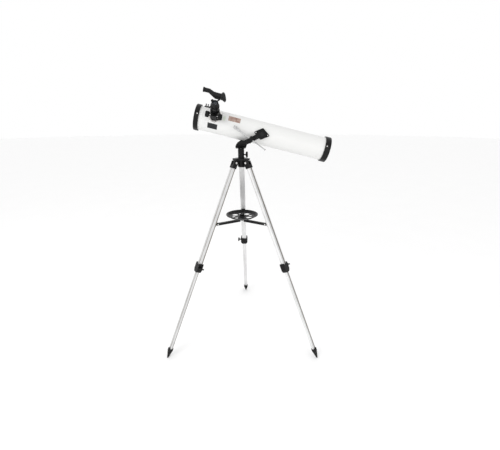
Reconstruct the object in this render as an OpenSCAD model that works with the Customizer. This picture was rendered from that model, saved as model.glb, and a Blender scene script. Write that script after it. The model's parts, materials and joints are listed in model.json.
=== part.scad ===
// Newtonian reflector telescope on an alt-azimuth yoke and a three-leg tripod.
// Origin: the point on the floor under the azimuth axis. +Z is up, the tube's
// open end points towards -X, and the focuser is on the -Y side.

/* [Optical tube] */
// Outer diameter of the main tube
tube_od = 112; // [108:1:116]
// Wall thickness of the main tube
tube_wall = 1.2; // [0.8:0.1:2]
// Overall length of the tube with both end rings
tube_length = 675.6; // [660:0.5:700]
// Distance from the pivot axis to the open end of the tube
front_reach = 332.3; // [325:0.1:340]
// Outer diameter of the front ring and the rear cell
ring_od = 124; // [122:1:128]
// Width of the front ring
front_ring_width = 22.3; // [20:0.1:26]
// Width of the rear cell's band
rear_cell_width = 28.4; // [28:0.1:34]
// Diameter of the primary mirror
mirror_d = 76; // [70:1:80]
// Focal length of the primary mirror
focal_length = 700; // [650:10:900]

/* [Mounting] */
// Height of the altitude axis above the floor
pivot_z = 1180.5; // [1175:0.5:1190]
// Distance from the azimuth axis to the altitude axis
pivot_x = 103.6; // [98:0.2:108]
// Altitude of the tube as it is set up, in degrees
rest_altitude = 13.54; // [5:0.01:25]
// Distance from the altitude axis to the rod's stud on the tube
stud_distance = 130; // [126:1:134]
// Angle between the altitude rod and the tube axis, in degrees
rod_drop = 22.2; // [21:0.1:23]
// Length of the altitude rod
rod_length = 177; // [172:1:185]

/* [Focuser] */
// Distance from the altitude axis to the focuser's axis, along the tube
focuser_reach = 236.5; // [232:0.5:242]
// Angle of the focuser above the horizontal, around the tube, in degrees
focuser_angle = 33; // [25:1:45]
// Outer diameter of the drawtube
drawtube_od = 36; // [36:0.5:37]
// Diameter of the eyepiece barrel
eyepiece_barrel_d = 31.75; // [31.7:0.01:31.8]
// Diameter of the two focus knobs
focus_knob_d = 28; // [22:1:30]

/* [Tripod] */
// Radius of the circle on which the three feet stand
foot_circle_r = 480; // [460:2:500]
// Height at which the legs leave the hub
leg_top_z = 1017.4; // [1010:0.2:1024]
// Distance from the azimuth axis to each leg at its top
leg_top_r = 46.5; // [45:0.5:48]
// Width of the upper leg channel
upper_leg_w = 28; // [27:0.5:30]
// Depth of the upper leg channel
upper_leg_d = 16; // [15:0.5:18]
// Width of the lower leg channel
lower_leg_w = 23; // [21:0.5:24]
// Depth of the lower leg channel
lower_leg_d = 11.5; // [10:0.5:12]
// Distance from the leg's top to the middle of its clamp
clamp_drop = 558.7; // [540:0.5:580]

/* [Accessory tray] */
// Radius of the tray's rim
tray_r = 86.5; // [84:0.5:90]
// Height of the tray's rim
tray_rim_z = 761; // [758:0.5:764]
// Diameter of the four holes that hold eyepieces
eyepiece_hole_d = 32.3; // [32:0.1:33]
// Diameter of the four small holes
small_hole_d = 20; // [14:1:22]

/* [Hidden] */
$fn = 64;

black = [0.07, 0.07, 0.07];
silver = [0.78, 0.78, 0.78];
steel = [0.62, 0.62, 0.64];

running = 0.05;
gap = 0.3;
eps = 0.02;

tube_r = tube_od / 2;
bore_r = tube_r - tube_wall;
ring_r = ring_od / 2;
front_x = -front_reach;
rear_x = tube_length - front_reach;
ring_seat_r = tube_r + running;
ring_lip = 3.3;
cell_wall_x = rear_x - 7;
cell_wall = 3.5;
mirror_thickness = 10;
mirror_x = rear_x - 31;
plate_x = mirror_x + mirror_thickness + 3;
plate_t = 2;
collimation_r = 46;
screw_head_r = 3;

yoke_inner_r = tube_r + 5.5;
yoke_outer_r = tube_r + 17;
yoke_base_z = pivot_z - yoke_outer_r;
pivot_boss_r = 19;
pivot_pin_r = 4;
arm_w = 23;
cheek_drop = 28;
side_plate_y = tube_r + 4.5;
side_screw_places = [-29, 29];
rod_y = yoke_outer_r + 9;
rod_r = 3;
rod_sleeve_r = 4;
swivel_reach = 91.9;
swivel_pin_r = 3;

focuser_x = -focuser_reach;
drawtube_r = drawtube_od / 2;
barrel_r = eyepiece_barrel_d / 2;
flange_r = 33;
flange_top = tube_r + 4;
focuser_screw_r = 25;
housing_top = tube_r + 42;
pinion_y = -(drawtube_r + 7);
pinion_z = tube_r + 34;
pinion_tip_r = 4.2;
rack_tooth = 2.6;
collar_r = 20.5;
collar_z = housing_top + 20;
collar_h = 12;
drawtube_top = collar_z + collar_h;
knob_gap = 20;
knob_w = 19;

finder_z = tube_r + 62.5;
objective_z = finder_z + 11.5;
finder_stud_places = [-292, -282];

leg_azimuths = [210, 330, 90];
leg_tilt = atan((foot_circle_r - leg_top_r) / leg_top_z);
leg_length = leg_top_z / cos(leg_tilt);
leg_wall = 1.4;
hinge_up = 24;
hinge_r = leg_top_r - hinge_up * sin(leg_tilt);
hinge_z = leg_top_z + hinge_up * cos(leg_tilt);
hub_top_z = leg_top_z + 42.6;
post_r = 15.7;
post_top_z = yoke_base_z - 2;
azimuth_pin_r = 7;
azimuth_knob_z = hub_top_z + 17.5;
clamp_screw_up = 4;
upper_leg_end = clamp_drop + 8;
lower_leg_top = clamp_drop - 200;
foot_socket = 41;

strut_z = 728;
strut_pin_r = 148;
strut_w = 15;
strut_h = 11;
strut_top_z = strut_z + 4;
// The strut's pin on a leg, in that leg's frame: drop along it and distance inwards.
strut_pin_drop = (leg_top_z - strut_z) * cos(leg_tilt) + (strut_pin_r - leg_top_r) * sin(leg_tilt);
strut_pin_in = (leg_top_z - strut_z) * sin(leg_tilt) - (strut_pin_r - leg_top_r) * cos(leg_tilt);
spreader_t = 2.5;
tray_seat_z = strut_top_z + spreader_t;
tray_floor_z = tray_rim_z - 14;
tray_hole_circle = 46;
tray_first_hole = 13;

// ---------- frames ----------

// Tube frame: origin on the altitude axis, X along the tube towards the mirror.
module tube_frame() {
    translate([pivot_x, 0, pivot_z]) rotate([0, rest_altitude, 0]) children();
}

// Focuser frame: Z points out along the focuser, from the tube's own axis.
module focuser_frame() {
    tube_frame() translate([focuser_x, 0, 0]) rotate([90 - focuser_angle, 0, 0]) children();
}

// Rod frame: origin on the stud's axis, X down along the altitude rod.
module rod_frame() {
    tube_frame() translate([-stud_distance, -rod_y, 0]) rotate([0, rod_drop, 0]) children();
}

// Leg frame: origin at the top of a leg, Z up along it, X outwards.
module leg_frame(i) {
    rotate([0, 0, leg_azimuths[i]]) translate([leg_top_r, 0, leg_top_z])
        rotate([0, -leg_tilt, 0]) children();
}

module along_x() {
    rotate([0, 90, 0]) children();
}

module along_y() {
    rotate([-90, 0, 0]) children();
}

// A ring about the X axis from a half section of [radius, x] points.
module turned_x(section) {
    along_x() rotate_extrude($fn = 128) polygon(section);
}

// A shape about the tube's axis at an angle above the horizontal on the -Y side.
module around_tube(angle) {
    rotate([-angle, 0, 0]) children();
}

// A patch lying on the tube between two angles above the horizontal.
module tube_patch(x0, x1, low, high, thick) {
    along_x() rotate([0, 0, -90 - high]) rotate_extrude(angle = high - low, $fn = 128)
        translate([tube_r + eps, x0]) square([thick, x1 - x0]);
}

// A screw with a low round head; Z points out of the surface, z = 0 is the surface.
module pan_screw(head_r, shank_r, depth) {
    difference() {
        union() {
            cylinder(r = head_r, h = 1.2);
            translate([0, 0, 1.2]) cylinder(r1 = head_r, r2 = head_r * 0.6, h = 0.8);
            translate([0, 0, -depth]) cylinder(r = shank_r, h = depth + eps);
        }
        for (a = [0, 90]) {
            rotate([0, 0, a]) translate([-head_r * 0.55, -0.4, 1.1]) cube([head_r * 1.1, 0.8, 1]);
        }
    }
}

// A wing knob on a plain shank. Z points out from the thread's end.
module wing_screw(shank_r, shank_l, wing_h, wing_t) {
    cylinder(r = shank_r, h = shank_l + eps);
    translate([0, 0, shank_l]) cylinder(r = wing_t * 0.8, h = wing_t);
    translate([-wing_t / 2, 0, shank_l + wing_t / 2]) rotate([90, 0, 90]) linear_extrude(wing_t)
        union() {
            square([wing_h * 0.6, wing_t * 0.7], center = true);
            for (s = [-1, 1]) {
                translate([s * (wing_h / 2 - wing_t / 2), 0]) circle(d = wing_t);
            }
        }
}

// ---------- optical tube ----------

module main_tube() {
    color([0.93, 0.93, 0.91]) difference() {
        tube_frame() along_x() translate([0, 0, front_x + ring_lip + 0.2])
            difference() {
                cylinder(r = tube_r, h = tube_length - ring_lip - 7.4, $fn = 128);
                translate([0, 0, -1]) cylinder(r = bore_r, h = tube_length, $fn = 128);
            }
        focuser_frame() cylinder(r = drawtube_r + 3.2, h = tube_r + 10);
        tube_frame() end_screws(2.6, 30);
        tube_frame() side_screw_holes();
        tube_frame() finder_stud_holes();
    }
}

// Holes of the screws that hold the side plates, through both sides.
module side_screw_holes() {
    for (x = side_screw_places) {
        translate([x, -100, 0]) along_y() cylinder(r = 1.55, h = 200);
    }
}

// Holes of the two studs that hold the finder's bracket.
module finder_stud_holes() {
    for (x = finder_stud_places) {
        translate([x, 0, tube_r - 8]) cylinder(r = 2.05, h = 20);
    }
}

module front_ring() {
    lip_x = front_x + ring_lip;
    color(black) difference() {
        tube_frame() turned_x([
            [ring_seat_r, front_x + front_ring_width], [ring_r - 1, front_x + front_ring_width],
            [ring_r, front_x + front_ring_width - 1], [ring_r, front_x + 2],
            [ring_r - 2, front_x], [50.5, front_x], [50, front_x + 0.5], [50, lip_x],
            [ring_seat_r, lip_x]
        ]);
        tube_frame() end_screws(2.6, 30);
    }
}

module rear_cell() {
    color(black) difference() {
        tube_frame() turned_x([
            [ring_seat_r, rear_x - rear_cell_width], [ring_r - 1, rear_x - rear_cell_width],
            [ring_r, rear_x - rear_cell_width + 1], [ring_r, rear_x - 2], [ring_r - 2, rear_x],
            [53, rear_x], [53, cell_wall_x + cell_wall], [10, cell_wall_x + cell_wall],
            [10, cell_wall_x], [ring_seat_r, cell_wall_x]
        ]);
        tube_frame() end_screws(2.6, 30);
        tube_frame() collimation_places() translate([0, 0, cell_wall_x - 1])
            cylinder(r = 2.1, h = cell_wall + 2);
    }
}

// Places of the six screws through the end rings, as holes or as screws.
module end_screws(hole_r, depth) {
    for (x = [front_x + 14.6, rear_x - 20]) {
        for (a = [18, 138, 258]) {
            around_tube(a) translate([x, 0, 0]) rotate([90, 0, 0])
                translate([0, 0, ring_r - depth]) cylinder(r = hole_r, h = depth + 1);
        }
    }
}

module collimation_places() {
    for (a = [30, 150, 270]) {
        rotate([a, 0, 0]) translate([0, 0, collimation_r]) along_x() children();
    }
}

// Screws of the end rings, the side plates, the focuser and the finder's bracket.
module tube_screws() {
    color(steel) tube_frame() {
        for (x = [front_x + 14.6, rear_x - 20]) {
            for (a = [18, 138, 258]) {
                around_tube(a) translate([x, 0, 0]) rotate([90, 0, 0])
                    translate([0, 0, ring_r - 0.05]) pan_screw(screw_head_r, 2.55, 9);
            }
        }
        for (side = [-1, 1]) {
            for (x = side_screw_places) {
                translate([x, side * side_plate_y, 0]) rotate([-90 * side, 0, 0])
                    pan_screw(screw_head_r, 1.5, 6.2);
            }
        }
    }
    color(steel) focuser_frame() {
        for (a = [45, 135, 225, 315]) {
            rotate([0, 0, a]) translate([focuser_screw_r, 0, flange_top + 5.1]) pan_screw(1.9, 1.2, 8);
        }
    }
    color(steel) tube_frame() {
        for (x = finder_stud_places) {
            translate([x, 0, tube_r - 2]) cylinder(r = 2, h = 16);
            translate([x, 0, tube_r + 3.05]) cylinder(r = 4.2, h = 3.5, $fn = 6);
            translate([x, 0, tube_r + 10]) cylinder(r = 3, h = 4.5);
        }
    }
}

// The primary mirror: a paraboloid of the stated focal length.
module primary_mirror() {
    r = mirror_d / 2;
    steps = 8;
    curve = [for (k = [0:steps])
        [r * k / steps, mirror_x + (pow(r, 2) - pow(r * k / steps, 2)) / (4 * focal_length)]];
    color([0.75, 0.8, 0.85]) tube_frame()
        turned_x(concat([[0, mirror_x + mirror_thickness]], curve, [[r, mirror_x + mirror_thickness]]));
}

module mirror_plate() {
    color(steel) difference() {
        tube_frame() union() {
            turned_x([[14, plate_x], [52, plate_x], [52, plate_x + plate_t], [14, plate_x + plate_t]]);
            for (a = [90, 210, 330]) {
                rotate([a, 0, 0]) {
                    translate([mirror_x + mirror_thickness + eps, -5, 22]) cube([3, 10, 10]);
                    translate([mirror_x - 1.5, -4, mirror_d / 2 + 0.3])
                        cube([mirror_thickness + 5, 8, 3]);
                    translate([mirror_x - 1.6, -4, mirror_d / 2 - 2]) cube([1.5, 8, 5.3]);
                }
            }
        }
        tube_frame() collimation_places() translate([0, 0, plate_x - 1]) cylinder(r = 1.95, h = 4);
    }
}

module collimation_springs() {
    color(steel) tube_frame() collimation_places() {
        for (k = [0:3]) {
            translate([0, 0, plate_x + plate_t + 1 + k * (cell_wall_x - plate_x - plate_t - 2) / 3])
                rotate_extrude() translate([4, 0]) circle(r = 0.7, $fn = 16);
        }
    }
}

module collimation_screws() {
    color(steel) tube_frame() collimation_places() translate([0, 0, plate_x]) {
        cylinder(r = 1.95, h = cell_wall_x + cell_wall - plate_x + 1);
        translate([0, 0, cell_wall_x + cell_wall - plate_x + 0.1]) cylinder(r = 5, h = 2.8);
    }
}

module spider() {
    hub_x = focuser_x - 24;
    color(black) tube_frame() {
        translate([hub_x, 0, 0]) along_x() difference() {
            cylinder(r = 8, h = 12);
            translate([0, 0, -1]) cylinder(r = 2.5, h = 14);
        }
        for (a = [60, 180, 300]) {
            around_tube(a + focuser_angle) translate([hub_x, -bore_r + 0.2, -0.5])
                cube([12, bore_r - 7.5, 1]);
        }
    }
}

module secondary_holder() {
    color(black) focuser_frame() union() {
        difference() {
            translate([-12 + eps, 0, 0]) along_x() cylinder(r = 10.5, h = 30);
            rotate([0, 45, 0]) translate([-60, -60, -3]) cube([120, 120, 100]);
        }
        translate([-28, 0, 0]) along_x() cylinder(r = 2.45, h = 17);
        translate([-30, 0, 0]) along_x() cylinder(r = 5, h = 5.9);
    }
}

module secondary_mirror() {
    color([0.75, 0.8, 0.85]) focuser_frame() intersection() {
        translate([-30, 0, 0]) along_x() cylinder(r = 11, h = 60);
        rotate([0, 45, 0]) translate([-30, -30, -3 + eps]) cube([60, 60, 3]);
    }
}

// Rhombic plates screwed to both sides of the tube; they carry the pivots.
module side_plates() {
    color(black) tube_frame() {
        for (side = [-1, 1]) {
            difference() {
                translate([0, side * side_plate_y, 0]) rotate([90 * side, 0, 0]) linear_extrude(12)
                    hull() {
                        for (s = [-1, 1]) {
                            translate([s * 31.5, 0]) circle(r = 5, $fn = 32);
                            translate([0, s * 22]) circle(r = 5, $fn = 32);
                        }
                    }
                translate([-60, 0, 0]) along_x() cylinder(r = tube_r + eps, h = 120, $fn = 128);
                translate([0, -100, 0]) along_y() cylinder(r = pivot_pin_r, h = 200);
                side_screw_holes();
            }
        }
    }
}

module pivot_bolts() {
    color(steel) tube_frame() {
        for (side = [-1, 1]) {
            translate([0, side * (tube_r + 0.3), 0]) rotate([-90 * side, 0, 0]) {
                cylinder(r = pivot_pin_r - eps / 2, h = 17.2);
                translate([0, 0, 17]) cylinder(r = 9, h = 1.5);
                translate([0, 0, 18.5 - eps]) cylinder(r1 = 9, r2 = 7, h = 1.5);
            }
        }
    }
}

module pivot_washers() {
    color([0.85, 0.85, 0.8]) tube_frame() {
        for (side = [-1, 1]) {
            translate([0, side * (side_plate_y + eps), 0]) rotate([-90 * side, 0, 0]) difference() {
                cylinder(r = 11, h = 0.8);
                translate([0, 0, -1]) cylinder(r = pivot_pin_r + running, h = 3);
            }
        }
    }
}

module info_label() {
    color(black) tube_frame() tube_patch(-263, -216, -36, -9, 0.3);
}

module colour_label() {
    color([0.45, 0.35, 0.32]) tube_frame() tube_patch(-171, -113, 23, 50, 0.25);
}

module small_label() {
    color([0.75, 0.78, 0.73]) tube_frame() tube_patch(-196, -184, 16, 42, 0.25);
}

// ---------- focuser ----------

module focuser_flange() {
    color([0.5, 0.5, 0.5]) focuser_frame() difference() {
        translate([0, 0, 36]) cylinder(r = flange_r, h = flange_top - 36);
        translate([0, 0, 20]) cylinder(r = drawtube_r + 0.6, h = 60);
        translate([-60, 0, 0]) along_x() cylinder(r = tube_r + eps, h = 120, $fn = 128);
        rack_groove();
        focuser_screw_holes();
    }
}

// Groove in which the drawtube's rack slides.
module rack_groove() {
    translate([-3.4, -(drawtube_r + 3.2), 20]) cube([6.8, 6, 200]);
}

module focuser_screw_holes() {
    for (a = [45, 135, 225, 315]) {
        rotate([0, 0, a]) translate([focuser_screw_r, 0, 30]) cylinder(r = 1.25, h = 60);
    }
}

module focuser_housing() {
    color(black) focuser_frame() difference() {
        union() {
            translate([0, 0, flange_top + eps]) cylinder(r = 27, h = 5);
            translate([0, 0, flange_top + 5]) cylinder(r1 = 23, r2 = 22, h = 1);
            translate([0, 0, flange_top + 5]) cylinder(r = 22, h = housing_top - flange_top - 5);
            translate([-14, pinion_y - 7, flange_top + 6])
                cube([28, -pinion_y - 4, housing_top - flange_top - 8]);
        }
        translate([0, 0, 20]) cylinder(r = drawtube_r + running, h = 200);
        rack_groove();
        translate([-8, pinion_y, pinion_z]) along_x() cylinder(r = 5.4, h = 16);
        translate([-30, pinion_y, pinion_z]) along_x() cylinder(r = 2 + running, h = 60);
        focuser_screw_holes();
    }
}

// The sliding drawtube with its toothed rack and the collar for the eyepiece.
module drawtube() {
    teeth = 28;
    rack_low = flange_top - 18;
    color([0.16, 0.16, 0.17]) focuser_frame() difference() {
        union() {
            translate([0, 0, tube_r - 18]) cylinder(r = drawtube_r, h = drawtube_top - tube_r + 18);
            translate([0, 0, collar_z]) cylinder(r = collar_r, h = collar_h);
            translate([-3, -(drawtube_r + 1.7), rack_low]) cube([6, 3, teeth * rack_tooth]);
            for (k = [0:teeth - 1]) {
                translate([-3, -(drawtube_r + 2.5), rack_low + k * rack_tooth + 0.6])
                    cube([6, 1.5, rack_tooth * 0.5]);
            }
        }
        translate([0, 0, 10]) cylinder(r = barrel_r + running, h = 200);
        eyepiece_screw_frame() cylinder(r = 2.05, h = 12);
    }
}

module eyepiece_screw_frame() {
    rotate([0, 0, 125]) translate([barrel_r + 0.4, 0, collar_z + collar_h / 2]) rotate([0, 90, 0])
        rotate([0, 0, 90]) children();
}

module pinion_shaft() {
    color(steel) focuser_frame() translate([0, pinion_y, pinion_z]) along_x() {
        translate([0, 0, -38]) cylinder(r = 2, h = 76);
        translate([0, 0, -7]) cylinder(r = 3.2, h = 14);
        for (k = [0:11]) {
            rotate([0, 0, k * 30]) translate([0, -0.5, -7]) cube([pinion_tip_r, 1, 14]);
        }
    }
}

module focus_knobs() {
    r = focus_knob_d / 2;
    color(black) focuser_frame() translate([0, pinion_y, pinion_z]) {
        for (side = [-1, 1]) {
            rotate([0, 90 * side, 0]) translate([0, 0, knob_gap]) difference() {
                rotate_extrude() polygon([
                    [2.02, 0], [7, 0], [7, 3], [r - 1.5, 3], [r, 4.5], [r, knob_w - 2.5],
                    [r - 2.5, knob_w], [2.02, knob_w]
                ]);
                for (k = [0:23]) {
                    rotate([0, 0, k * 15]) translate([r + 0.3, 0, 2]) cylinder(r = 0.9, h = knob_w, $fn = 16);
                }
            }
        }
    }
}

module eyepiece_barrel() {
    color(silver) focuser_frame() translate([0, 0, drawtube_top - 28]) difference() {
        cylinder(r = barrel_r, h = 28.2);
        translate([0, 0, -1]) cylinder(r = 14.2, h = 40);
    }
}

module eyepiece_body() {
    color(black) focuser_frame() translate([0, 0, drawtube_top + 0.2 + eps]) rotate_extrude()
        polygon([
            [13.6, 0], [17.5, 0], [17.5, 9.5], [16.8, 10.5], [16.8, 12], [17, 13], [15.2, 20.5],
            [13.6, 21.8], [11.5, 21.8], [10.6, 19], [10.6, 11], [13.6, 11]
        ]);
}

// A field lens in the barrel and an eye lens in the body.
module eyepiece_lenses() {
    color([0.7, 0.8, 0.85]) focuser_frame() {
        translate([0, 0, drawtube_top - 24]) cylinder(r = 14.1, h = 4);
        translate([0, 0, drawtube_top + 12]) cylinder(r = 10.5, h = 5);
    }
}

module eyepiece_screw() {
    color(steel) focuser_frame() eyepiece_screw_frame() {
        cylinder(r = 2, h = 9);
        translate([0, 0, 6.9]) cylinder(r = 3.5, h = 2.2);
        translate([0, 0, 9]) cylinder(r = 6.5, h = 9);
        translate([0, 0, 18 - eps]) cylinder(r1 = 6.5, r2 = 5.5, h = 1);
    }
}

// ---------- finder ----------

// A bent strip: a foot on the tube and an arm that leans back up to the finder.
module finder_bracket() {
    color(black) tube_frame() difference() {
        union() {
            translate([-298, -8, tube_r - 3]) cube([32, 16, 6]);
            translate([-272, -6, tube_r + 1]) rotate([0, -48, 0]) cube([60, 12, 6]);
            translate([-258, -7, finder_z - 16.6]) cube([27, 14, 5]);
        }
        translate([-320, 0, 0]) along_x() cylinder(r = tube_r + eps, h = 120, $fn = 128);
        translate([-264, 0, finder_z]) along_x() cylinder(r = 13.1, h = 60);
        finder_stud_holes();
    }
}

// The small straight-through finder: a narrow objective tube, a step that
// holds the erecting prism, and a wider eye tube.
module finder_body() {
    color(black) tube_frame() difference() {
        union() {
            translate([-318, 0, objective_z]) along_x() cylinder(r = 10, h = 33);
            translate([-318, 0, objective_z]) along_x() cylinder(r = 11.4, h = 6);
            hull() {
                translate([-290, 0, objective_z]) along_x() cylinder(r = 10, h = 1, $fn = 32);
                translate([-264, 0, finder_z]) along_x() cylinder(r = 13, h = 1, $fn = 32);
            }
            translate([-265, 0, finder_z]) along_x() cylinder(r = 13, h = 39);
            translate([-262, 0, finder_z]) along_x() cylinder(r = 14, h = 3);
        }
        translate([-320, 0, objective_z]) along_x() cylinder(r = 8, h = 34);
        translate([-265.5, 0, finder_z]) along_x() cylinder(r = 11, h = 60);
        translate([-287, 0, objective_z]) along_x() cylinder(r = 4.5, h = 10);
        translate([-278, -5, finder_z - 2]) cube([13, 10, 13]);
    }
}

// Objective, rhomboid erecting prism and eye lens of the finder.
module finder_lenses() {
    color([0.7, 0.8, 0.85]) tube_frame() {
        translate([-314, 0, objective_z]) along_x() cylinder(r = 7.95, h = 4);
        translate([-277.9, -4.9, finder_z - 1.9]) cube([12, 9.8, 12.8]);
        translate([-236, 0, finder_z]) along_x() cylinder(r = 10.95, h = 5);
    }
}

// The flared rubber eyecup, leaning back over the eye tube.
module finder_eyecup() {
    color(black) tube_frame() difference() {
        union() {
            translate([-229, 0, finder_z]) along_x() cylinder(r = 15.5, h = 12);
            translate([-216, 0, finder_z]) rotate([0, -22, 0]) along_x() rotate_extrude()
                polygon([
                    [0, -9], [14, -9], [20.5, -3.5], [22.6, -1], [22.3, 1.5], [20, 5.5],
                    [15, 8.5], [0, 9]
                ]);
        }
        translate([-233, 0, finder_z]) along_x() cylinder(r = 13.02, h = 7.2);
        translate([-227, 0, finder_z]) along_x() cylinder(r = 11, h = 17);
        translate([-216, 0, finder_z]) rotate([0, -22, 0]) along_x()
            cylinder(r1 = 11, r2 = 16, h = 10);
    }
}

// ---------- altitude rod ----------

// The stud on the tube that the altitude rod turns on.
module rod_stud() {
    color(steel) tube_frame() translate([-stud_distance, 0, 0]) difference() {
        union() {
            translate([-8, -(tube_r + 2.5), -7]) cube([16, 8, 14]);
            translate([0, -(rod_y + 6.2), 0]) along_y() cylinder(r = 4 - running, h = rod_y - tube_r + 6);
            translate([0, -(rod_y - 5.5), 0]) along_y() cylinder(r = 6.5, h = rod_y - tube_r - 6);
            translate([0, -(rod_y + 7.5), 0]) along_y() cylinder(r = 6, h = 2);
        }
        translate([-60, 0, 0]) along_x() cylinder(r = tube_r + eps, h = 120, $fn = 128);
    }
}

module altitude_rod() {
    color(steel) rod_frame() {
        difference() {
            union() {
                translate([0, -5, 0]) along_y() cylinder(r = 8, h = 10);
                along_x() cylinder(r = rod_sleeve_r, h = 11);
            }
            translate([0, -10, 0]) along_y() cylinder(r = 4, h = 20);
        }
        translate([11 - eps, 0, 0]) along_x() cylinder(r = 2.5, h = 17);
        translate([28 - eps, 0, 0]) along_x() cylinder(r = rod_sleeve_r, h = 38);
        translate([66 - eps, 0, 0]) along_x() cylinder(r = rod_r, h = rod_length - 66);
        translate([rod_length - 4, 0, 0]) along_x() cylinder(r = 4.2, h = 4);
    }
}

module fine_tune_knob() {
    color(silver) rod_frame() translate([11.8, 0, 0]) along_x() difference() {
        rotate_extrude() polygon([[2.55, 0], [5.6, 0], [6.6, 1], [6.6, 14.4], [5.6, 15.4], [2.55, 15.4]]);
        for (k = [0:15]) {
            rotate([0, 0, k * 22.5]) translate([7, 0, 1.5]) cylinder(r = 0.8, h = 12, $fn = 16);
        }
    }
}

// The block on the yoke's near arm that guides the rod; it turns on its own pin.
module rod_swivel() {
    slot_z = 18;
    color(black) rod_frame() translate([swivel_reach, 0, 0]) {
        difference() {
            translate([-10, -7, -13]) cube([20, 13.6, 26]);
            translate([-11, -rod_r - 0.8, -slot_z / 2]) cube([22, 2 * rod_r + 1.6, slot_z]);
        }
        translate([0, 6.5, 0]) along_y() cylinder(r = 10, h = 2.2);
        translate([0, 6.5, 0]) along_y() cylinder(r = swivel_pin_r - running, h = 12);
        translate([4, 0, -12.9]) rotate([180, 0, 0]) cylinder(r = 4.5, h = 6);
    }
}

// ---------- yoke and azimuth bearing ----------

// Side view of one arm: a foot over the post, then a straight arm to the pivot.
module yoke_side() {
    arm_x = 16;
    arm_z = yoke_base_z + 28.5;
    arm_angle = atan2(pivot_z - arm_z, pivot_x - arm_x);
    arm_l = norm([pivot_x - arm_x, pivot_z - arm_z]);
    translate([pivot_x, pivot_z]) circle(r = pivot_boss_r);
    translate([arm_x, arm_z]) rotate(arm_angle) translate([-6, -arm_w / 2]) square([arm_l + 6, arm_w]);
    translate([0, yoke_base_z]) polygon([
        [-24, 0], [-26, 3], [-26, 14], [-20, 27], [0, 38.5], [14, 44], [31, 28], [27, 9], [21, 0]
    ]);
}

// Front view: a half ring under the tube with two straight cheeks.
module yoke_front() {
    difference() {
        union() {
            circle(r = yoke_outer_r, $fn = 128);
            translate([-yoke_outer_r, 0]) square([2 * yoke_outer_r, pivot_boss_r + 2]);
        }
        circle(r = yoke_inner_r, $fn = 128);
        translate([-yoke_inner_r, -cheek_drop]) square([2 * yoke_inner_r, 2 * yoke_outer_r]);
        translate([-yoke_outer_r - 1, pivot_boss_r + 1]) square([2 * yoke_outer_r + 2, yoke_outer_r]);
    }
}

module yoke() {
    color(black) difference() {
        intersection() {
            translate([0, yoke_outer_r + 1, 0]) rotate([90, 0, 0])
                linear_extrude(2 * yoke_outer_r + 2) yoke_side();
            translate([-40, 0, pivot_z]) rotate([90, 0, 90]) linear_extrude(180) yoke_front();
        }
        translate([pivot_x, -100, pivot_z]) along_y() cylinder(r = pivot_pin_r + running, h = 200);
        translate([0, 0, yoke_base_z - 1]) cylinder(r = azimuth_pin_r, h = 9);
        rod_frame() translate([swivel_reach, 5, 0]) along_y() cylinder(r = swivel_pin_r, h = 30);
    }
}

module azimuth_shaft() {
    color(steel) translate([0, 0, hub_top_z - 12])
        cylinder(r = azimuth_pin_r - eps, h = yoke_base_z + 7.9 - hub_top_z + 12);
}

module thrust_washer() {
    color([0.85, 0.85, 0.8]) translate([0, 0, post_top_z + eps]) difference() {
        cylinder(r = post_r, h = 1.9);
        translate([0, 0, -1]) cylinder(r = azimuth_pin_r + running, h = 4);
    }
}

module tripod_hub() {
    centre_bottom = leg_top_z + 1.6;
    plate_t = 10;
    color(black) difference() {
        union() {
            translate([0, 0, hub_top_z - plate_t]) linear_extrude(plate_t) {
                circle(r = 31);
                for (a = leg_azimuths) {
                    rotate(a) translate([0, -17]) square([41, 34]);
                }
            }
            translate([0, 0, centre_bottom]) cylinder(r = 18, h = hub_top_z - centre_bottom - 1);
            translate([0, 0, hub_top_z - 1]) cylinder(r = post_r + 2, h = 3);
            translate([0, 0, hub_top_z - 1]) cylinder(r = post_r, h = post_top_z - hub_top_z + 1);
            for (a = leg_azimuths) {
                rotate([0, 0, a]) {
                    translate([10, -6, hinge_z - 7.5]) cube([hinge_r - 10, 12, 19]);
                    translate([hinge_r, -6, hinge_z]) along_y() cylinder(r = 7.5, h = 12);
                }
            }
        }
        translate([0, 0, hub_top_z - 14]) cylinder(r = azimuth_pin_r + running, h = 100);
        translate([0, 0, azimuth_knob_z]) along_x() cylinder(r = 3.05, h = 30);
        for (a = leg_azimuths) {
            rotate([0, 0, a]) translate([hinge_r, -20, hinge_z]) along_y() cylinder(r = 3.05, h = 40);
        }
        translate([0, 0, centre_bottom - 1]) cylinder(r = 12, h = 16);
    }
}

module azimuth_knob() {
    color(black) translate([azimuth_pin_r + gap, 0, azimuth_knob_z]) along_x()
        rotate([0, 0, 90]) wing_screw(3, 17, 31, 10);
}

// Bolts that hinge the three leg caps on the hub.
module hinge_bolts() {
    color(steel) {
        for (a = leg_azimuths) {
            rotate([0, 0, a]) translate([hinge_r, 0, hinge_z]) {
                translate([0, -18, 0]) along_y() cylinder(r = 3, h = 37);
                translate([0, -20.2, 0]) along_y() cylinder(r = 5, h = 3);
                translate([0, 17.2, 0]) along_y() cylinder(r = 5, h = 3.5, $fn = 6);
            }
        }
    }
}

// ---------- legs ----------

// Sockets that hold the upper legs and hinge on the hub's tabs.
module leg_caps() {
    cap_w = upper_leg_w + 6;
    cap_d = upper_leg_d + 6;
    color(black) {
        for (i = [0:2]) {
            leg_frame(i) difference() {
                union() {
                    translate([-cap_d / 2, -cap_w / 2, -6]) cube([cap_d, cap_w, 24]);
                    translate([-cap_d / 2, -cap_w / 2, 10]) cube([cap_d, cap_w, hinge_up - 4]);
                    translate([0, -cap_w / 2, hinge_up]) along_y() cylinder(r = 9, h = cap_w);
                }
                translate([-upper_leg_d / 2 - 0.1, -upper_leg_w / 2 - 0.1, -10])
                    cube([upper_leg_d + 0.2, upper_leg_w + 0.2, 18]);
                translate([-30, -6.3, 12]) cube([60, 12.6, 40]);
                translate([0, -30, hinge_up]) along_y() cylinder(r = 3.05, h = 60);
            }
        }
    }
}

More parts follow.
